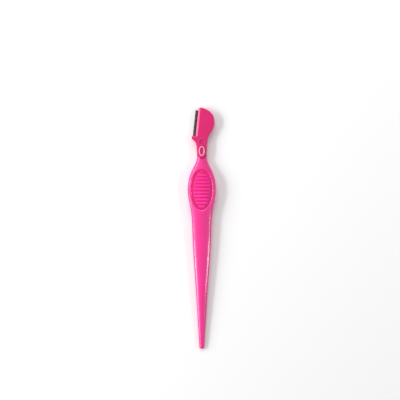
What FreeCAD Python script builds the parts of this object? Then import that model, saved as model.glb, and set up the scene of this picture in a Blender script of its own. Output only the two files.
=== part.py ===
import FreeCAD
import Part

import math
import os

# Eyebrow razor: a tapered handle with a ribbed grip pad in each side, and a push-on blade head.
#
# Frame: the razor lies on the flat of its back. +Y runs along it towards the blade head, +X is to the
# right with the head pointing away and the front facing up, and +Z is up, out of the front.
# The origin is on the surface it rests on, halfway along its length. All sizes are in millimetres.

vec = FreeCAD.Vector

# Handle: stem from the tail to where the grip swells, then grip up to the shoulder under the head
stem_length = 80.0
grip_length = 39.5
tail_width = 3.2
tail_thickness = 2.2
stem_width = 12.6
stem_thickness = 5.8
grip_width = 17.6
grip_thickness = 7.0
shoulder_thickness = 4.2
shoulder_edge_radius = 0.4
back_flat_depth = 0.25          # taken off the rounded back so that it lies flat
tail_dome = 1.3                 # length of the tail's rounded end
dome_count = 6                  # sections of the rounded end
dome_end_share = 0.25           # size of its last section
side_radius_share = 0.62        # radius of a section's sides, of its half thickness
section_count = 31              # evenly spaced sections that the handle's surface runs through
# Outline points: share of the stretch's length, then of the way between the widths and the thicknesses
# at its ends
stem_shares = [(0, 0, 0), (0.15, 0.15, 0.20), (0.37, 0.38, 0.45), (0.61, 0.64, 0.68), (0.80, 0.85, 0.85)]
swell_shares = [(0, 0, 0), (0.16, 0.25, 0.35), (0.31, 0.73, 0.75), (0.47, 1, 1)]
shoulder_shares = [(0.62, 0.92, 0.94), (0.74, 0.69, 0.72), (0.82, 0.43, 0.47),
                   (0.90, 0.16, 0.22), (0.95, 0.05, 0.07), (1, 0, 0)]

# Grip pads: soft ribbed ovals, each in a recess with a moat round it
rim_width = 2.6                 # handle left at each side of the recesses where the grip is widest
recess_foot = 6.7               # stem's top to the recesses' lower end
recess_top = 8.4                # recesses' upper end to the shoulder
moat_width = 0.9
front_recess_depth = 2.6
back_recess_depth = 1.6
front_edge_radius = 1.0
back_edge_radius = 0.2
edge_wall_share = 0.75          # most of the recess's wall that its rounded edge takes
pad_sink = 0.1                  # rib crests under the handle's crown
back_pad_lift = 0.1             # rear rib crests above the surface that the back rests on
rib_height = 0.6
rib_radius = 0.7
rib_pitch = 2.15
rib_end_margin = 0.5            # middle of the last rib to the pad's end
stud_diameter = 3.0
stud_wall = 0.7                 # handle left between the front and rear studs' holes
stud_inset = 5.8                # pad's end to the nearer stud's centre
pad_fit = 0.05                  # gap round a stud

# Neck joint: a flat tongue on the handle slides into the head, and its button shows in an oval window
neck_width = 6.7
neck_foot_width = 6.0           # at the shoulder
neck_length = 11.5              # shoulder to the foot of the head plate
tongue_width = 3.6
tongue_thickness = 1.6
tongue_reach = 6.2
tongue_corner_radius = 0.9
tab_width = 4.0                 # rounded tab of each half of the neck that laps onto the handle
tab_length = 1.4
slide_gap = 0.1                 # tongue and button to the head
seat_gap = 0.1                  # neck and tabs to the shoulder
button_width = 1.8
button_length = 4.2
button_height = 0.4
button_edge_radius = 0.2
button_rise = 3.4               # shoulder to the button's centre
ring_band = 1.0                 # raised rim round the window
ring_height = 0.5
ring_edge_radius = 0.45

# Head plate, in two halves
head_step = 0.2                 # shoulder's faces down to the head's
peak_rise = 0.99                # top of the plate's blade side to the top of the razor
back_reach = 7.9                # razor's axis to the furthest point of the curved back
back_drop = 4.5                 # foot of the plate down to where the back joins the neck
peak_offset = 1.0               # razor's axis to the highest point, on the blade's side
spur_cover = 0.6                # guard's teeth to the tip of the spur under the blade
spur_tip_rise = 0.3
spur_nose_width = 0.4           # tip to where the spur's nose meets its underside
spur_nose_drop = 1.0
spur_root_radius = 5.6          # hollow between the spur and the neck
plate_edge_radius = 0.7
bevel_run = 1.2                 # slope down to the blade along the plate's blade side
bevel_fall = 0.8
# Points of the curved back: way from neck side to back reach, then of back reach; and of the head length
back_low_shares = [(0.30, 0.10), (0.59, 0.22), (0.87, 0.34)]
back_high_shares = [(1, 0.53), (0.92, 0.71), (0.72, 0.83), (0.45, 0.92), (0.18, 0.97)]

# Blade and its guard, along an edge that leans from the razor's axis
blade_tilt = 6.0                # degrees
edge_foot_margin = 0.55         # neck's side to the lower end of the plate's blade side
edge_foot_rise = 1.2
blade_length = 16.0
blade_top_margin = 0.9          # plate's blade side beyond the top of the blade
blade_thickness = 0.25
blade_reach = 1.65              # plate's edge to the cutting edge
blade_hold = 3.8                # plate's edge to the blade's back
ground_width = 0.8              # ground slope of the blade behind its edge
edge_land = 0.03                # thickness left at the cutting edge
end_gap = 0.1                   # blade and guard to the ends of their pocket
foil_thickness = 0.12
foil_gap = 0.02
foil_edge_radius = 0.15
guard_lead = 0.25               # cutting edge to the tips of the guard's teeth
guard_set_back = 0.4            # guard's leaves short of the blade's back
slot_pitch = 1.5
slot_width = 0.8
slot_depth = 1.2
pocket_gap = 0.03
pin_diameter = 1.8
pin_hold = 2.0                  # plate's edge to the pins
pin_shares = (0.27, 0.73)       # places of the pins along the blade
pin_reach = 0.9                 # into the front half
pin_gap = 0.05
boss_diameter = 3.2             # boss of the rear half, staked in a round hole of the front half
boss_share = 0.47               # its place between the ends of the tongue's and the blade's pockets
boss_sink = 0.45
mark_band = 0.6                 # raised rim round that hole
mark_height = 0.2
mark_edge_radius = 0.15

overrun = 5.0                   # how far cutting shapes run past what they cut
touch = 0.01                    # how near an edge lies to the plane that it belongs to

edge_length = blade_length + blade_top_margin
head_length = edge_foot_rise + edge_length * math.cos(math.radians(blade_tilt)) + peak_rise
head_thickness = shoulder_thickness - 2 * head_step
total_length = stem_length + grip_length + neck_length + head_length
tail_y = -total_length / 2
stem_y = tail_y + tail_dome
stem_top_y = tail_y + stem_length
shoulder_y = stem_top_y + grip_length
plate_y = shoulder_y + neck_length
top_y = plate_y + head_length
recess_width = grip_width - 2 * rim_width
recess_length = grip_length - recess_foot - recess_top
pad_width = recess_width - 2 * moat_width
pad_length = recess_length - 2 * moat_width
pad_y = stem_top_y + recess_foot + recess_length / 2
button_y = shoulder_y + button_rise
tongue_end_y = shoulder_y + tongue_reach
middle_z = shoulder_thickness / 2       # plane between the head's halves
neck_half = neck_width / 2
edge_foot_offset = neck_half + edge_foot_margin         # razor's axis to that lower end
foot_half = neck_foot_width / 2
tab_half = tab_width / 2
tongue_half_thickness = tongue_thickness / 2
face_z = head_thickness / 2             # outer face of a head half above that plane
leaf_half = blade_thickness / 2 + foil_gap              # middle plane to the inside of a guard leaf
guard_half = leaf_half + foil_thickness
guard_reach = blade_reach + guard_lead                  # plate's edge to the tips of the guard's teeth
guard_hold = blade_hold - guard_set_back
spur_reach = edge_foot_offset + guard_reach + spur_cover
pocket_depth = guard_half + pocket_gap


def prism(edges, low_z, high_z):
    """Solid over a closed outline drawn in the XY plane."""
    face = Part.Face(Part.Wire(edges))
    face.translate(vec(0, 0, low_z))
    return face.extrude(vec(0, 0, high_z - low_z))


def line(start, end):
    return Part.LineSegment(start, end).toShape()


def arc(start, middle, end):
    return Part.Arc(start, middle, end).toShape()


def curve(points, first_way, last_way):
    """Smooth curve through points, leaving the first and reaching the last in the given directions."""
    spline = Part.BSplineCurve()
    spline.interpolate(Points=points, InitialTangent=first_way.normalize(),
                       FinalTangent=last_way.normalize(), Scale=False)
    return spline.toShape()


def oval_edges(width, length, centre_y):
    """Closed elliptical outline, long along Y."""
    centre = vec(0, centre_y)
    return [Part.Ellipse(vec(0, centre_y + length / 2), vec(width / 2, centre_y), centre).toShape()]


def blend(low, high, share):
    return low + (high - low) * share


def outline_points():
    """Places along the handle with its width and thickness there, from the tail to the shoulder."""
    points = []
    for along, wide, thick in stem_shares:
        points.append((blend(stem_y, stem_top_y, along),
                       blend(tail_width, stem_width, wide),
                       blend(tail_thickness, stem_thickness, thick)))
    for along, wide, thick in swell_shares:
        points.append((stem_top_y + grip_length * along,
                       blend(stem_width, grip_width, wide),
                       blend(stem_thickness, grip_thickness, thick)))
    for along, wide, thick in shoulder_shares:
        points.append((stem_top_y + grip_length * along,
                       blend(neck_foot_width, grip_width, wide),
                       blend(shoulder_thickness, grip_thickness, thick)))
    return points


def smooth_value(points, column, y):
    """Value at a place on a smooth cubic through the points, whose slope at each follows its neighbours."""
    last = len(points) - 1
    index = max(step for step in range(last) if points[step][0] <= y)
    span = points[index + 1][0] - points[index][0]
    share = (y - points[index][0]) / span
    slopes = []
    for step in (index, index + 1):
        before = points[max(step - 1, 0)]
        after = points[min(step + 1, last)]
        slopes.append(span * (after[column] - before[column]) / (after[0] - before[0]))
    rise = points[index + 1][column] - points[index][column]
    square = share ** 2
    cube = share ** 3
    return (points[index][column] + rise * (3 * square - 2 * cube)
            + slopes[0] * (share - 2 * square + cube) + slopes[1] * (cube - square))


def section_at(y):
    """Width and thickness of the handle at a place along it."""
    points = outline_points()
    return smooth_value(points, 1, y), smooth_value(points, 2, y)


def section_radii(width, thickness, inset):
    """Half width, half height, side radius and crown radius of an oval section of four arcs."""
    half_width = width / 2 - inset
    half_height = (thickness + back_flat_depth) / 2 - inset
    side_radius = side_radius_share * half_height
    crown_radius = ((half_width ** 2 - 2 * half_width * side_radius + half_height ** 2)
                    / (2 * (half_height - side_radius)))
    return half_width, half_height, side_radius, crown_radius


def section_middle(thickness):
    return (thickness - back_flat_depth) / 2


def section_wire(y, z, half_width, half_height, side_radius, crown_radius):
    side_x = half_width - side_radius
    lean = math.atan2(side_x, crown_radius - half_height)
    join_x = side_x + side_radius * math.sin(lean)
    join_z = side_radius * math.cos(lean)
    high_left = vec(-join_x, y, z + join_z)
    high_right = vec(join_x, y, z + join_z)
    low_right = vec(join_x, y, z - join_z)
    low_left = vec(-join_x, y, z - join_z)
    return Part.Wire([arc(high_left, vec(0, y, z + half_height), high_right),
                      arc(high_right, vec(half_width, y, z), low_right),
                      arc(low_right, vec(0, y, z - half_height), low_left),
                      arc(low_left, vec(-half_width, y, z), high_left)])


def handle_form(inset):
    """Smooth rounded form of the handle up to its tail dome, drawn in all round by the inset."""
    wires = []
    for step in range(section_count):
        y = blend(stem_y, shoulder_y, step / (section_count - 1))
        width, thickness = section_at(y)
        wires.append(section_wire(y, section_middle(thickness), *section_radii(width, thickness, inset)))
    return Part.makeLoft(wires, True)


def tail_end():
    """Rounded end of the tail, through sections that shrink along a quarter ellipse."""
    radii = section_radii(tail_width, tail_thickness, 0)
    end_angle = math.asin(dome_end_share)
    wires = []
    for step in range(dome_count):
        angle = blend(math.pi / 2, end_angle, step / (dome_count - 1))
        y = stem_y - tail_dome * math.cos(angle) / math.cos(end_angle)
        sizes = [radius * math.sin(angle) for radius in radii]
        wires.append(section_wire(y, section_middle(tail_thickness), *sizes))
    return Part.makeLoft(wires, True)


def floor_block():
    """What is taken away below the surface that the razor lies on."""
    return Part.makeBox(grip_width + 2 * overrun, total_length + 2 * overrun, overrun,
                        vec(-grip_width / 2 - overrun, tail_y - overrun, -overrun))


def saddle(side):
    """Rounded bed of a neck tab, cut into the shoulder down to the tongue's face."""
    half = tab_half + seat_gap
    seat_y = shoulder_y + seat_gap
    high_y = shoulder_y + overrun
    edges = [arc(vec(-half, seat_y), vec(0, shoulder_y - tab_length - seat_gap), vec(half, seat_y)),
             line(vec(half, seat_y), vec(half, high_y)),
             line(vec(half, high_y), vec(-half, high_y)),
             line(vec(-half, high_y), vec(-half, seat_y))]
    tongue_z = middle_z + side * tongue_half_thickness
    return prism(edges, tongue_z, tongue_z + side * grip_thickness)


def tongue_edges(half_width, low_y, high_y, radius):
    """Outline of the tongue or of its socket, with its two far corners rounded."""
    slant = radius * (1 - math.sqrt(0.5))
    right = vec(half_width, high_y - radius)
    left = vec(-half_width, high_y - radius)
    top_right = vec(half_width - radius, high_y)
    top_left = vec(radius - half_width, high_y)
    return [line(vec(-half_width, low_y), vec(half_width, low_y)),
            line(vec(half_width, low_y), right),
            arc(right, vec(half_width - slant, high_y - slant), top_right),
            line(top_right, top_left),
            arc(top_left, vec(slant - half_width, high_y - slant), left),
            line(left, vec(-half_width, low_y))]


def tongue():
    plate = prism(tongue_edges(tongue_width / 2, shoulder_y - tab_length, tongue_end_y, tongue_corner_radius),
                  middle_z - tongue_half_thickness, middle_z + tongue_half_thickness)
    tongue_z = middle_z + tongue_half_thickness
    button = prism(oval_edges(button_width, button_length, button_y), middle_z, tongue_z + button_height)
    rim = [edge for edge in button.Edges if edge.BoundBox.ZMin > tongue_z]
    return plate.fuse(button.makeFillet(button_edge_radius, rim))


front_floor_z = grip_thickness - front_recess_depth
back_floor_z = back_recess_depth
stud_length = (front_floor_z - back_floor_z - stud_wall) / 2 - pad_fit


def recess(low_z, high_z):
    return prism(oval_edges(recess_width, recess_length, pad_y), low_z, high_z)


def recess_rim(shape, side):
    """Edges where a recess comes out through the rounded surface."""
    return [edge for edge in shape.Edges
            if abs(edge.BoundBox.YLength - recess_length) < moat_width and edge.BoundBox.ZLength > touch
            and side * (edge.CenterOfMass.z - middle_z) > 0]


def lowest_wall():
    """Height of the front recess's wall where the handle is thinnest along it."""
    ends = (pad_y - recess_length / 2, pad_y + recess_length / 2)
    return min(section_at(y)[1] for y in ends) - front_floor_z


def studs(diameter, low_z, high_z):
    offset = pad_length / 2 - stud_inset
    places = (pad_y - offset, pad_y + offset)
    return [Part.makeCylinder(diameter / 2, high_z - low_z, vec(0, y, low_z)) for y in places]


def handle():
    body = handle_form(0)
    end_rim = [edge for edge in body.Edges if edge.BoundBox.YMin > shoulder_y - touch]
    body = body.makeFillet(shoulder_edge_radius, end_rim)
    body = body.cut([recess(front_floor_z, grip_thickness + overrun), recess(-overrun, back_floor_z)])
    rim_radius = min(front_edge_radius, edge_wall_share * lowest_wall())
    body = body.makeFillet(rim_radius, recess_rim(body, 1))
    body = body.makeFillet(back_edge_radius, recess_rim(body, -1))
    body = body.fuse(tail_end()).cut(floor_block())
    hole = stud_diameter + 2 * pad_fit
    body = body.cut(studs(hole, front_floor_z - stud_length - pad_fit, front_floor_z)
                    + studs(hole, back_floor_z, back_floor_z + stud_length + pad_fit))
    body = body.cut([saddle(1), saddle(-1)])
    return body.fuse(tongue()).removeSplitter()


def rib(y, side, sink):
    """One round bar across a pad, bent to the crown of the handle at its place."""
    width, thickness = section_at(y)
    _, half_height, _, crown_radius = section_radii(width, thickness, 0)
    centre_z = section_middle(thickness) + side * (half_height - crown_radius)
    return Part.makeTorus(crown_radius - sink - rib_radius, rib_radius, vec(0, y, centre_z), vec(0, 1, 0))


def rib_places():
    count = int((pad_length / 2 - rib_end_margin) / rib_pitch)
    return [pad_y + rib_pitch * step for step in range(-count, count + 1)]


def pad(side, floor_z, sink, stud_low_z, stud_high_z):
    """Soft oval pad: crowned valley surface, round ribs, flat foot and two studs."""
    outer_z = floor_z + side * grip_thickness
    column = prism(oval_edges(pad_width, pad_length, pad_y), floor_z, outer_z)
    body = column.common(handle_form(sink + rib_height))
    ribs = [rib(y, side, sink).common(column) for y in rib_places()]
    return body.fuse(ribs + studs(stud_diameter, stud_low_z, stud_high_z)).removeSplitter()


def thumb_pad():
    return pad(1, front_floor_z, pad_sink, front_floor_z - stud_length, front_floor_z)


def finger_pad():
    sink = back_flat_depth + back_pad_lift
    return pad(-1, back_floor_z, sink, back_floor_z, back_floor_z + stud_length)


def in_blade_frame(shape):
    """Turns and moves a shape drawn with Y along the plate's blade side and X into the plate."""
    shape.rotate(vec(0, 0, 0), vec(0, 0, 1), -blade_tilt)
    shape.translate(vec(-edge_foot_offset, plate_y + edge_foot_rise, 0))
    return shape


def blade_frame_point(x, y):
    return in_blade_frame(Part.Vertex(x, y, 0)).Point


def spur_edges(spur_top):
    """Round nose of the spur and the hollow from it down to the neck's side."""
    tip = vec(-spur_reach, plate_y + spur_tip_rise)
    under = tip + vec(spur_nose_width, -spur_nose_drop)
    turn = math.acos(1 - (-neck_half - under.x) / spur_root_radius)
    centre = under - vec(spur_root_radius * math.cos(turn), spur_root_radius * math.sin(turn))
    halfway = centre + vec(spur_root_radius * math.cos(turn / 2), spur_root_radius * math.sin(turn / 2))
    neck_left = centre + vec(spur_root_radius, 0)
    return [arc(spur_top, tip, under), arc(under, halfway, neck_left)]


def head_outline():
    """Closed outline of a head half: tab, neck, curved back, blade side and spur."""
    seat_y = shoulder_y + seat_gap
    neck_right = vec(neck_half, plate_y - back_drop)
    peak = vec(-peak_offset, top_y)
    edge_top = blade_frame_point(0, edge_length)
    edge_foot = blade_frame_point(0, 0)
    spur_top = blade_frame_point(-guard_reach - end_gap, 0)
    spur = spur_edges(spur_top)
    neck_left = spur[-1].Vertexes[-1].Point
    back = [neck_right]
    back += [vec(blend(neck_half, back_reach, x), plate_y + head_length * y) for x, y in back_low_shares]
    back += [vec(back_reach * x, plate_y + head_length * y) for x, y in back_high_shares]
    return [arc(vec(-tab_half, seat_y), vec(0, shoulder_y - tab_length), vec(tab_half, seat_y)),
            line(vec(tab_half, seat_y), vec(foot_half, seat_y)),
            line(vec(foot_half, seat_y), neck_right),
            curve(back + [peak], vec(0, 1), vec(-1, 0)),
            curve([peak, edge_top], vec(-1, 0), edge_foot - edge_top),
            line(edge_top, edge_foot),
            line(edge_foot, spur_top),
            *spur,
            line(neck_left, vec(-foot_half, seat_y)),
            line(vec(-foot_half, seat_y), vec(-tab_half, seat_y))]


def blade_bevel():
    """What is taken off the plate's outer edge along the blade."""
    rise = bevel_fall / bevel_run
    low_z = face_z - bevel_fall - overrun * rise
    high_z = face_z + overrun * rise
    points = [vec(-overrun, 0, low_z), vec(bevel_run + overrun, 0, high_z), vec(-overrun, 0, high_z)]
    face = Part.Face(Part.makePolygon(points + points[:1]))
    return in_blade_frame(face.extrude(vec(0, edge_length + overrun, 0)))


def blade_places():
    return [(pin_hold, blade_length * share) for share in pin_shares]


def blade_pins(diameter, low_z, high_z):
    """Round posts at the pins' places, in the blade's frame."""
    return [Part.makeCylinder(diameter / 2, high_z - low_z, vec(x, y, low_z)) for x, y in blade_places()]


def blade_pocket():
    box = Part.makeBox(guard_reach + overrun + blade_hold + end_gap, blade_length + 2 * end_gap,
                       pocket_depth + overrun, vec(-guard_reach - overrun, 0, -overrun))
    return in_blade_frame(box)


def boss_place():
    """Centre of the boss, between the tongue's socket and the lower end of the blade's pocket."""
    pocket_y = blade_frame_point(blade_hold + end_gap, 0).y
    return blend(tongue_end_y + slide_gap, pocket_y, boss_share)


def tongue_socket():
    """Room for the tongue in one half of the neck, and for the handle's web under the tab."""
    depth = tongue_half_thickness + slide_gap
    socket = prism(tongue_edges(tongue_width / 2 + slide_gap, shoulder_y - tab_length - overrun,
                                tongue_end_y + slide_gap, tongue_corner_radius),
                   -overrun, depth)
    low_y = shoulder_y - tab_length - overrun
    web = Part.makeBox(neck_width, shoulder_y + seat_gap - low_y, overrun + depth,
                       vec(-neck_half, low_y, -overrun))
    return socket.fuse(web)


def head_half():
    """What the front and rear halves share, outer face up, with the joint plane at zero."""
    body = prism(head_outline(), 0, face_z)
    rim = [edge for edge in body.Edges if edge.BoundBox.ZMin > face_z - touch]
    body = body.makeFillet(plate_edge_radius, rim)
    return body.cut([blade_bevel(), blade_pocket(), tongue_socket()])


def raised_rim(inner, outer, edge_radius):
    """Rounded rim that stands on the outer face round an opening."""
    ring = outer.cut(inner)
    crest = [edge for edge in ring.Edges if edge.BoundBox.ZMin > face_z]
    return ring.makeFillet(edge_radius, crest)


def window(band, low_z, high_z):
    """Oval over the button, wider by a band all round."""
    margin = 2 * (slide_gap + band)
    return prism(oval_edges(button_width + margin, button_length + margin, button_y), low_z, high_z)


def boss_hole(band, low_z, high_z):
    """Round hole for the boss, wider by a band all round."""
    return Part.makeCylinder(boss_diameter / 2 + pin_gap + band, high_z - low_z, vec(0, boss_place(), low_z))


def button_track():
    """Groove inside the front half by which the button enters from below."""
    top_z = tongue_half_thickness + button_height + slide_gap
    half = button_width / 2 + slide_gap
    low_y = shoulder_y - tab_length - overrun
    return Part.makeBox(2 * half, button_y - low_y, top_z, vec(-half, low_y, 0))


def head_front_shell():
    openings = [window(0, 0, face_z + overrun), boss_hole(0, 0, face_z + overrun)]
    ring = raised_rim(openings[0], window(ring_band, face_z - ring_height, face_z + ring_height),
                      ring_edge_radius)
    mark = raised_rim(openings[1], boss_hole(mark_band, face_z - mark_height, face_z + mark_height),
                      mark_edge_radius)
    pin_holes = blade_pins(pin_diameter + 2 * pin_gap, 0, pocket_depth + pin_reach + pin_gap)
    body = head_half().fuse([ring, mark])
    body = body.cut(openings + [button_track()] + [in_blade_frame(post) for post in pin_holes])
    body.translate(vec(0, 0, middle_z))
    return body


def head_rear_shell():
    boss = Part.makeCylinder(boss_diameter / 2, face_z, vec(0, boss_place(), boss_sink - face_z))
    pins = blade_pins(pin_diameter, -pocket_depth - pin_reach, face_z - pocket_depth)
    body = head_half().fuse([boss] + [in_blade_frame(post) for post in pins])
    body = body.mirror(vec(0, 0, 0), vec(0, 0, 1))
    body.translate(vec(0, 0, middle_z))
    return body


def blade():
    """Flat strip ground to an edge on both faces, with a hole for each pin."""
    half = blade_thickness / 2
    land = edge_land / 2
    ground_x = ground_width - blade_reach
    points = [vec(-blade_reach, 0, -land), vec(ground_x, 0, -half), vec(blade_hold, 0, -half),
              vec(blade_hold, 0, half), vec(ground_x, 0, half), vec(-blade_reach, 0, land)]
    face = Part.Face(Part.makePolygon(points + points[:1]))
    face.translate(vec(0, end_gap, 0))
    body = face.extrude(vec(0, blade_length, 0))
    body = in_blade_frame(body.cut(blade_pins(pin_diameter + 2 * pin_gap, -overrun, overrun)))
    body.translate(vec(0, 0, middle_z))
    return body


def blade_guard():
    """Thin folded foil over both faces of the blade, slotted into teeth along its fold."""
    depth = guard_reach + guard_hold
    outer = Part.makeBox(depth, blade_length, 2 * guard_half, vec(-guard_reach, end_gap, -guard_half))
    fold = [edge for edge in outer.Edges
            if edge.BoundBox.XMax < 0 and edge.BoundBox.YLength > edge.BoundBox.ZLength]
    outer = outer.makeFillet(foil_edge_radius, fold)
    inner = Part.makeBox(depth, blade_length + 2 * overrun, 2 * leaf_half,
                         vec(foil_thickness - guard_reach, -overrun, -leaf_half))
    count = int((blade_length - slot_pitch + slot_width) / slot_pitch)
    first_y = end_gap + (blade_length - (count - 1) * slot_pitch) / 2
    slot_ys = [first_y + slot_pitch * step - slot_width / 2 for step in range(count)]
    slots = [Part.makeBox(overrun + slot_depth, slot_width, 2 * overrun,
                          vec(-guard_reach - overrun, y, -overrun)) for y in slot_ys]
    holes = blade_pins(pin_diameter + 2 * pin_gap, -overrun, overrun)
    body = in_blade_frame(outer.cut([inner] + slots + holes))
    body.translate(vec(0, 0, middle_z))
    return body


makers = [handle, thumb_pad, finger_pad, head_front_shell, head_rear_shell, blade, blade_guard]

os.makedirs("parts", exist_ok=True)
for make in makers:
    shape = make()
    print(make.__name__, len(shape.Solids), "solid", shape.isValid(), round(shape.Volume, 2))
    shape.exportStep("parts/" + make.__name__ + ".step")
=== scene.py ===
import bpy
import bmesh
import math
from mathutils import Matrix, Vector


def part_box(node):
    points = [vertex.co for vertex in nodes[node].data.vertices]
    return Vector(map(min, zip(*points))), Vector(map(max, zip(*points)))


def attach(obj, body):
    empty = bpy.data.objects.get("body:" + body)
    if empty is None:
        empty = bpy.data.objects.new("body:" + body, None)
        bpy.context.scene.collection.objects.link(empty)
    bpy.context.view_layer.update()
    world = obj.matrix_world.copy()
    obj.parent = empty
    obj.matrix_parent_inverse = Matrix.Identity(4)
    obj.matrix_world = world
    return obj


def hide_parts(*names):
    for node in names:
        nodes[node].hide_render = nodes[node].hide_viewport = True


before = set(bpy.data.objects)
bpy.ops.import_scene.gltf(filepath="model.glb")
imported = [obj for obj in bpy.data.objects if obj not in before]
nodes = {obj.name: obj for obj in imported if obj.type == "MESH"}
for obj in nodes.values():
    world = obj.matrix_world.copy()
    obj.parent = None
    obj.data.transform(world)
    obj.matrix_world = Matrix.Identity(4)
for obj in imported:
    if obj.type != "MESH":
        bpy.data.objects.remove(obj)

# Eyebrow razor lying on its back, seen from straight above: head at +Y, blade on the -X side
mm = 0.001
snap = 0.001 * mm                   # how near a point lies to the place that it is picked by
bladeLean = math.radians(6)         # of the cutting edge, out from the razor's axis
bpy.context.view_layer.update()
print("frame loaded with", len(nodes), "nodes")


# Selecting and shaping in edit mode

def letGo():
    if bpy.context.mode != "OBJECT":
        bpy.ops.object.mode_set(mode="OBJECT")
    bpy.ops.object.select_all(action="DESELECT")


def take(piece):
    letGo()
    bpy.context.view_layer.objects.active = piece
    piece.select_set(True)


def edit(piece):
    take(piece)
    bpy.ops.object.mode_set(mode="EDIT")
    bpy.ops.mesh.select_mode(type="VERT")


def pickVerts(piece, test):
    bpy.ops.mesh.select_mode(type="VERT")
    bpy.ops.mesh.select_all(action="DESELECT")
    mesh = bmesh.from_edit_mesh(piece.data)
    for vert in mesh.verts:
        vert.select = test(vert.co)
    mesh.select_flush(True)
    bmesh.update_edit_mesh(piece.data)


def pickEdges(piece, test):
    bpy.ops.mesh.select_mode(type="EDGE")
    bpy.ops.mesh.select_all(action="DESELECT")
    mesh = bmesh.from_edit_mesh(piece.data)
    for edge in mesh.edges:
        edge.select = test(edge)
    mesh.select_flush(False)
    bmesh.update_edit_mesh(piece.data)


def onRim(edge):
    return edge.is_boundary


def liesAt(edge, axis, place):      # axis 0, 1 or 2, and both ends of the edge at that place on it
    return all(abs(vert.co[axis] - place) < snap for vert in edge.verts)


def useModifier(piece, kind, **values):
    take(piece)
    mod = piece.modifiers.new(kind.lower(), kind)
    for key, value in values.items():
        setattr(mod, key, value)
    bpy.ops.object.modifier_apply(modifier=mod.name)


def joinInto(piece, others):
    take(piece)
    for other in others:
        other.select_set(True)
    bpy.ops.object.join()


def finishPiece(piece, body, node, mat, angle):
    edit(piece)
    bpy.ops.mesh.select_all(action="SELECT")
    bpy.ops.mesh.normals_make_consistent(inside=False)
    take(piece)
    bpy.ops.object.transform_apply(location=True, rotation=True, scale=True)
    bpy.ops.object.shade_smooth_by_angle(angle=math.radians(angle))
    piece.data.materials.clear()
    piece.data.materials.append(mat)
    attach(piece, body)
    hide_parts(node)
    print(piece.name, "stands for", node, "with", len(piece.data.polygons), "faces")


# Node helpers for the materials

def newMaterial(name):
    mat = bpy.data.materials.new(name)
    mat.use_nodes = True
    return mat, mat.node_tree, mat.node_tree.nodes["Principled BSDF"]


def addNode(tree, kind, **values):
    node = tree.nodes.new(kind)
    for key, value in values.items():
        setattr(node, key, value)
    return node


def noise(tree, place, scale, detail):
    made = addNode(tree, "ShaderNodeTexNoise")
    made.inputs["Scale"].default_value = scale
    made.inputs["Detail"].default_value = detail
    tree.links.new(place, made.inputs["Vector"])
    return made.outputs["Fac"]


def spread(tree, amount, source, target, kind="LINEAR"):
    made = addNode(tree, "ShaderNodeMapRange", interpolation_type=kind)
    made.inputs["From Min"].default_value, made.inputs["From Max"].default_value = source
    made.inputs["To Min"].default_value, made.inputs["To Max"].default_value = target
    tree.links.new(amount, made.inputs["Value"])
    return made.outputs["Result"]


def mixed(tree, amount, first, second):     # the first may be a colour or another node's socket
    made = addNode(tree, "ShaderNodeMix", data_type="RGBA")
    if isinstance(first, tuple):
        made.inputs["A"].default_value = (*first, 1)
    else:
        tree.links.new(first, made.inputs["A"])
    made.inputs["B"].default_value = (*second, 1)
    tree.links.new(amount, made.inputs["Factor"])
    return made.outputs["Result"]


def roughen(tree, shader, height, strength, distance):
    bump = addNode(tree, "ShaderNodeBump")
    bump.inputs["Strength"].default_value = strength
    bump.inputs["Distance"].default_value = distance
    tree.links.new(height, bump.inputs["Height"])
    tree.links.new(bump.outputs["Normal"], shader.inputs["Normal"])


noiseSpan = (0.3, 0.7)      # where nearly all of a noise's values lie
unitSpan = (0, 1)
mouldSkin = {"cloudDetail": 3, "grainDetail": 2, "grainLift": 0.02 * mm, "coatRough": 0.12}


def mouldedPink(name, look):
    mat, tree, shader = newMaterial(name)
    place = addNode(tree, "ShaderNodeTexCoord").outputs["Object"]
    cloud = noise(tree, place, look["cloudScale"], mouldSkin["cloudDetail"])     # slow clouding of the dye
    grain = noise(tree, place, look["grainScale"], mouldSkin["grainDetail"])     # fine skin of the mould
    tone = mixed(tree, spread(tree, cloud, noiseSpan, unitSpan), look["deep"], look["light"])
    if "crest" in look:                                      # painted highlight: the tops standing above the face are painted paler than the flats, for the light they catch
        apart = addNode(tree, "ShaderNodeSeparateXYZ")
        tree.links.new(place, apart.inputs["Vector"])
        highlightMask = spread(tree, apart.outputs["Z"], look["crestRise"], unitSpan, "SMOOTHSTEP")
        tone = mixed(tree, highlightMask, tone, look["crest"])
    tree.links.new(tone, shader.inputs["Base Color"])
    tree.links.new(spread(tree, grain, noiseSpan, look["rough"]), shader.inputs["Roughness"])
    roughen(tree, shader, grain, look["grainDepth"], mouldSkin["grainLift"])
    shader.inputs["IOR"].default_value = look["ior"]
    shader.inputs["Coat Weight"].default_value = look["coat"]
    shader.inputs["Coat Roughness"].default_value = mouldSkin["coatRough"]
    return mat


grind = {"detail": 4, "depth": 0.2, "lift": 0.005 * mm}


def groundSteel(name, look):
    mat, tree, shader = newMaterial(name)
    turn = addNode(tree, "ShaderNodeMapping")
    turn.inputs["Rotation"].default_value = (0, 0, bladeLean)
    turn.inputs["Scale"].default_value = look["grain"]
    tree.links.new(addNode(tree, "ShaderNodeTexCoord").outputs["Object"], turn.inputs["Vector"])
    streak = noise(tree, turn.outputs["Vector"], 1, grind["detail"])       # grinding marks, drawn out one way
    # both tones are painted shade as well as grain: the steel is kept far darker than bare steel, for the
    # dark surroundings it mirrors
    tone = mixed(tree, spread(tree, streak, noiseSpan, unitSpan), look["darkStreakAndShade"], look["light"])
    tree.links.new(tone, shader.inputs["Base Color"])
    tree.links.new(spread(tree, streak, noiseSpan, look["rough"]), shader.inputs["Roughness"])
    roughen(tree, shader, streak, grind["depth"], grind["lift"])
    shader.inputs["Metallic"].default_value = 1
    return mat


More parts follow.
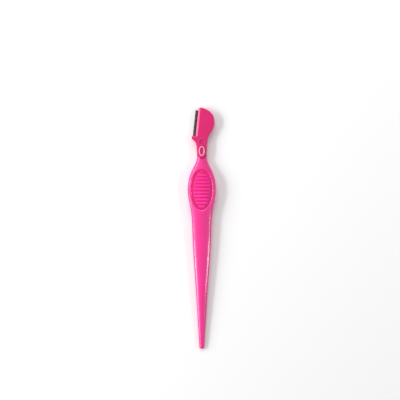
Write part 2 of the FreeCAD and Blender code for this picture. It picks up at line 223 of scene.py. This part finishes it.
# Handle and the two halves of the head keep their solids and get their plastics
handleLook = {"deep": (0.77, 0.003, 0.21), "light": (0.85, 0.006, 0.26), "cloudScale": 55,
              "grainScale": 2600, "grainDepth": 0.05, "rough": (0.36, 0.46), "ior": 1.42, "coat": 0.8}
headLook = {"deep": (0.60, 0.003, 0.118), "light": (0.67, 0.006, 0.146), "cloudScale": 90,
            "grainScale": 3000, "grainDepth": 0.04, "rough": (0.26, 0.32), "ior": 1.42, "coat": 0.15,
            # the last two entries paint a pale highlight on the tops of the ring and the mark's rim
            "crest": (0.95, 0.28, 0.52), "crestRise": (4.14 * mm, 4.46 * mm)}

handlePink = mouldedPink("handlePink", handleLook)
headPink = mouldedPink("headPink", headLook)
for name, mat in {"handle": handlePink, "head_front_shell": headPink, "head_rear_shell": headPink}.items():
    for slot in nodes[name].material_slots:
        slot.material = mat
print("handle and head shells have their plastics")


# Ribbed grip pads: an oval sheet is laid over the pad's solid and its ribs are softened,
# then it gets a rounded rim, sides down to its seat, and studs
padSpec = {"columns": 20, "rowsPerRib": 8, "ribPitch": 2.15 * mm, "soften": 5, "softenBy": 0.5,
           "rim": 0.16 * mm, "rimDrop": 0.3 * mm,
           "rimTurn": [(0.75, 0.35), (1, 1)],       # shares of the rim's width and drop, down its rounding
           "startGap": mm,                          # the sheet starts this far outside the pad
           "seats": {"thumb_pad": 4.4 * mm, "finger_pad": 1.6 * mm},       # heights of the recess floors
           "studRadius": 1.5 * mm, "studInset": 5.8 * mm, "studRound": 0.2 * mm, "studSides": 32,
           "look": {"deep": (0.77, 0.004, 0.215), "light": (0.85, 0.008, 0.255), "cloudScale": 90,
                    "grainScale": 3400, "grainDepth": 0.3, "rough": (0.34, 0.46), "ior": 1.45, "coat": 0},
           "smoothAngle": 60}
padPink = mouldedPink("padPink", padSpec["look"])


def padStud(place, depth, endZ):
    letGo()
    bpy.ops.mesh.primitive_cylinder_add(vertices=padSpec["studSides"], radius=padSpec["studRadius"],
                                        depth=depth, location=place)
    stud = bpy.context.object
    bpy.ops.object.transform_apply(location=True)
    edit(stud)
    pickEdges(stud, lambda edge: liesAt(edge, 2, endZ))
    bpy.ops.mesh.bevel(offset=padSpec["studRound"], segments=2, affect="EDGES")
    return stud


def ribbedPad(name, node, side):        # side is 1 for the front of the handle and -1 for its back
    spec = padSpec
    floorZ = spec["seats"][node]
    low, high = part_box(node)
    halfWide = (high.x - low.x) / 2
    halfLong = (high.y - low.y) / 2
    midY = (high.y + low.y) / 2
    outer, studEnd = (high.z, low.z) if side > 0 else (low.z, high.z)
    rows = 2 * round(halfLong / spec["ribPitch"] * spec["rowsPerRib"])
    startZ = outer + side * spec["startGap"]
    innerWide = halfWide - spec["rim"]
    innerLong = halfLong - spec["rim"]
    letGo()
    bpy.ops.mesh.primitive_grid_add(x_subdivisions=spec["columns"], y_subdivisions=rows, size=2,
                                    location=(0, midY, startZ))
    pad = bpy.context.object
    pad.name = name
    bpy.ops.object.transform_apply(location=True)
    edit(pad)
    bpy.ops.mesh.select_all(action="SELECT")
    bpy.ops.transform.resize(value=(innerWide, innerLong, 1), center_override=(0, midY, startZ))
    for row in range(rows + 1):
        y = midY + innerLong * (2 * row / rows - 1)
        share = math.sqrt(max(1 - ((y - midY) / halfLong) ** 2, 0))     # width of the oval at this row
        pickVerts(pad, lambda co: abs(co.y - y) < snap)
        bpy.ops.transform.resize(value=(share, 1, 1), center_override=(0, y, startZ))
    useModifier(pad, "SHRINKWRAP", target=nodes[node], wrap_method="PROJECT", use_project_z=True,
                use_negative_direction=side > 0, use_positive_direction=side < 0)
    useModifier(pad, "SMOOTH", factor=spec["softenBy"], iterations=spec["soften"], use_x=False, use_y=False)
    edit(pad)
    pickEdges(pad, onRim)
    wide, long, dropped = innerWide, innerLong, 0
    for out, down in spec["rimTurn"]:
        nextWide = innerWide + spec["rim"] * out
        nextLong = innerLong + spec["rim"] * out
        drop = spec["rimDrop"] * down
        bpy.ops.mesh.extrude_region_move(TRANSFORM_OT_translate={"value": (0, 0, -side * (drop - dropped))})
        bpy.ops.transform.resize(value=(nextWide / wide, nextLong / long, 1), center_override=(0, midY, 0))
        wide, long, dropped = nextWide, nextLong, drop
    bpy.ops.mesh.extrude_region_move(TRANSFORM_OT_translate={"value": (0, 0, 0)})
    bpy.ops.transform.resize(value=(1, 1, 0), center_override=(0, midY, floorZ))     # down to the seat
    useModifier(pad, "SUBSURF", levels=1, render_levels=1)
    edit(pad)
    pickEdges(pad, onRim)
    bpy.ops.transform.resize(value=(1, 1, 0), center_override=(0, midY, floorZ))
    bpy.ops.mesh.edge_face_add()
    studY = halfLong - spec["studInset"]
    studZ = (floorZ + studEnd) / 2
    studs = [padStud((0, midY + end * studY, studZ), abs(floorZ - studEnd), studEnd) for end in (-1, 1)]
    joinInto(pad, studs)
    finishPiece(pad, "handle", node, padPink, spec["smoothAngle"])


ribbedPad("thumbPad", "thumb_pad", 1)
ribbedPad("fingerPad", "finger_pad", -1)


# Blade and guard are drawn flat with Y along the plastic's edge and X into the head, then leaned into place
bladePlace = {"foot": Vector((-3.9 * mm, 57.2 * mm, 2.1 * mm)),
              "pins": [(2.0 * mm, 4.32 * mm), (2.0 * mm, 11.68 * mm)],
              "pinHole": 0.95 * mm, "pinSides": 32, "punchLong": 2 * mm}


def punchPinHoles(piece):
    for x, y in bladePlace["pins"]:
        letGo()
        bpy.ops.mesh.primitive_cylinder_add(vertices=bladePlace["pinSides"], radius=bladePlace["pinHole"],
                                            depth=bladePlace["punchLong"], location=(x, y, 0))
        punch = bpy.context.object
        useModifier(piece, "BOOLEAN", operation="DIFFERENCE", object=punch)
        bpy.data.objects.remove(punch)


def leanIntoHead(piece):
    edit(piece)
    bpy.ops.mesh.select_all(action="SELECT")
    bpy.ops.transform.rotate(value=bladeLean, orient_axis="Z", center_override=(0, 0, 0))
    bpy.ops.transform.translate(value=bladePlace["foot"])


bladeSpec = {"reach": 1.65 * mm, "hold": 3.8 * mm, "foot": 0.1 * mm, "length": 16 * mm, "thick": 0.25 * mm,
             "grinds": [(0.8 * mm, 1), (0.25 * mm, 0.42), (0, 0.12)],      # behind the edge, share left
             # painted shade and reflection: the blade's tones are kept far darker than bare steel
             "look": {"grain": (9000, 500, 3000), "darkStreakAndShade": (0.10, 0.10, 0.11),
                      "light": (0.22, 0.22, 0.24), "rough": (0.22, 0.38)},
             "smoothAngle": 8}
bladeSteel = groundSteel("bladeSteel", bladeSpec["look"])


def groundBlade():
    spec = bladeSpec
    midX = (spec["hold"] - spec["reach"]) / 2
    midY = spec["foot"] + spec["length"] / 2
    letGo()
    bpy.ops.mesh.primitive_cube_add(size=1, location=(midX, midY, 0))
    blade = bpy.context.object
    blade.name = "groundBlade"
    blade.scale = (spec["hold"] + spec["reach"], spec["length"], spec["thick"])
    bpy.ops.object.transform_apply(location=True, scale=True)
    edit(blade)
    for behind, share in spec["grinds"]:
        x = behind - spec["reach"]
        if behind > 0:
            bpy.ops.mesh.select_all(action="SELECT")
            bpy.ops.mesh.bisect(plane_co=(x, 0, 0), plane_no=(1, 0, 0))
        pickVerts(blade, lambda co: abs(co.x - x) < snap)
        bpy.ops.transform.resize(value=(1, 1, share), center_override=(0, 0, 0))
    punchPinHoles(blade)
    leanIntoHead(blade)
    finishPiece(blade, "head", "blade", bladeSteel, spec["smoothAngle"])


groundBlade()

guardSpec = {"tip": 1.9 * mm, "gum": 0.7 * mm, "back": 3.4 * mm, "leaf": 0.205 * mm, "foil": 0.12 * mm,
             "toothWide": 0.7 * mm, "pitch": 1.5 * mm, "teeth": 11, "firstTooth": 0.6 * mm,
             "foldSteps": 8, "edgeRound": 0.025 * mm, "edgeAngle": 50,
             # painted shade and reflection: the foil's tones are kept near black, for the shade around the
             # edge and the dark surroundings mirrored in it
             "look": {"grain": (500, 9000, 3000), "darkStreakAndShade": (0.013, 0.012, 0.016),
                      "light": (0.038, 0.036, 0.042), "rough": (0.3, 0.45)},
             "smoothAngle": 40}
guardSteel = groundSteel("guardSteel", guardSpec["look"])


def besideSlot(edge, sides, z):      # long edges of the leaf at this height, on both sides of a slot
    a, b = [vert.co for vert in edge.verts]
    behindTeeth = min(a.x, b.x) > -guardSpec["gum"] - snap and abs(a.x - b.x) > mm
    onSides = all(min(abs(co.y - y) for y in sides) < snap for co in (a, b))
    return behindTeeth and onSides and liesAt(edge, 2, z)


def combGuard():
    spec = guardSpec
    foldX = spec["leaf"] + spec["foil"] / 2 - spec["tip"]
    toothLong = -spec["gum"] - foldX
    midX = foldX + toothLong / 2
    letGo()
    bpy.ops.mesh.primitive_plane_add(size=1, location=(midX, spec["firstTooth"], spec["leaf"]))
    guard = bpy.context.object
    guard.name = "combGuard"
    guard.scale = (toothLong, spec["toothWide"], 1)
    bpy.ops.object.transform_apply(location=True, scale=True)
    edit(guard)
    pickEdges(guard, lambda edge: liesAt(edge, 0, foldX))
    bpy.ops.mesh.spin(steps=spec["foldSteps"], angle=-math.pi, center=(foldX, spec["firstTooth"], 0),
                      axis=(0, 1, 0))                   # the tooth folds round the cutting edge
    bpy.ops.mesh.extrude_region_move(TRANSFORM_OT_translate={"value": (toothLong, 0, 0)})
    pickEdges(guard, lambda edge: liesAt(edge, 0, -spec["gum"]))
    bpy.ops.mesh.extrude_region_move(TRANSFORM_OT_translate={"value": (spec["gum"] + spec["back"], 0, 0)})
    useModifier(guard, "ARRAY", count=spec["teeth"], use_relative_offset=False, use_constant_offset=True,
                constant_offset_displace=(0, spec["pitch"], 0))
    edit(guard)
    for slot in range(spec["teeth"] - 1):               # close the band behind the slots, on both leaves
        slotY = spec["firstTooth"] + slot * spec["pitch"] + spec["toothWide"] / 2
        sides = (slotY, slotY + spec["pitch"] - spec["toothWide"])
        for z in (spec["leaf"], -spec["leaf"]):
            pickEdges(guard, lambda edge: besideSlot(edge, sides, z))
            bpy.ops.mesh.edge_face_add()
    bpy.ops.mesh.select_all(action="SELECT")
    bpy.ops.mesh.remove_doubles(threshold=snap)
    bpy.ops.mesh.normals_make_consistent(inside=False)
    useModifier(guard, "SOLIDIFY", thickness=spec["foil"], offset=0)
    punchPinHoles(guard)
    useModifier(guard, "BEVEL", width=spec["edgeRound"], segments=2, limit_method="ANGLE",
                angle_limit=math.radians(spec["edgeAngle"]))
    leanIntoHead(guard)
    finishPiece(guard, "head", "blade_guard", guardSteel, spec["smoothAngle"])


combGuard()


# Pale floor
floorSpec = {"radius": 4, "sides": 96, "paper": (0.92, 0.92, 0.92, 1), "rough": 0.9}

letGo()
bpy.ops.mesh.primitive_circle_add(vertices=floorSpec["sides"], radius=floorSpec["radius"], fill_type="NGON")
floor = bpy.context.object
floor.name = "floor"
paper, _, paperShader = newMaterial("palePaper")
paperShader.inputs["Base Color"].default_value = floorSpec["paper"]
paperShader.inputs["Roughness"].default_value = floorSpec["rough"]
floor.data.materials.append(paper)
print("floor laid")


# Soft room light and four lamps, each aimed at the middle of the razor; a size is length, then height
lightSpec = {"room": 0.36, "background": 1,
             "boxes": {"leftBox": {"place": (-0.95, 0.05, 0.42), "size": (1.4, 0.36), "power": 8.8},
                       "leftStrip": {"place": (-0.85, 0.08, 0.57), "size": (0.5, 0.15), "power": 3.5},
                       "topBox": {"place": (-0.1, 0.85, 0.62), "size": (0.7, 0.3), "power": 4.2},
                       "rightStrip": {"place": (0.85, -0.03, 0.57), "size": (0.3, 0.15), "power": 2.0}}}


def softRoom():
    world = bpy.data.worlds.new("softRoom")
    bpy.context.scene.world = world
    world.use_nodes = True
    tree = world.node_tree
    path = addNode(tree, "ShaderNodeLightPath")
    seen = path.outputs["Is Camera Ray"]
    for ray in ("Is Glossy Ray", "Is Transmission Ray"):       # reflections see the pale background too
        either = addNode(tree, "ShaderNodeMath", operation="MAXIMUM")
        tree.links.new(seen, either.inputs[0])
        tree.links.new(path.outputs[ray], either.inputs[1])
        seen = either.outputs["Value"]
    level = spread(tree, seen, unitSpan, (lightSpec["room"], lightSpec["background"]))
    tree.nodes["Background"].inputs["Color"].default_value = (1, 1, 1, 1)
    tree.links.new(level, tree.nodes["Background"].inputs["Strength"])


def softBox(name, box):
    bpy.ops.object.light_add(type="AREA", location=box["place"])
    lamp = bpy.context.object
    lamp.name = name
    lamp.data.shape = "RECTANGLE"
    lamp.data.size, lamp.data.size_y = box["size"]
    lamp.data.energy = box["power"]
    aim = -Vector(box["place"])
    lamp.rotation_euler = aim.to_track_quat("-Z", "Y").to_euler()


softRoom()
for name, box in lightSpec["boxes"].items():
    softBox(name, box)
print("lights ready")


# Overhead camera
cameraSpec = {"place": (-1.12 * mm, 17.55 * mm, 1.383), "lens": 200, "sensor": 36, "near": 0.05, "far": 20}

bpy.ops.object.camera_add(location=cameraSpec["place"], rotation=(0, 0, 0))
camera = bpy.context.object
camera.data.lens = cameraSpec["lens"]
camera.data.sensor_width = cameraSpec["sensor"]
camera.data.clip_start = cameraSpec["near"]
camera.data.clip_end = cameraSpec["far"]
bpy.context.scene.camera = camera
bpy.context.scene.view_settings.view_transform = "Standard"
print("camera ready")
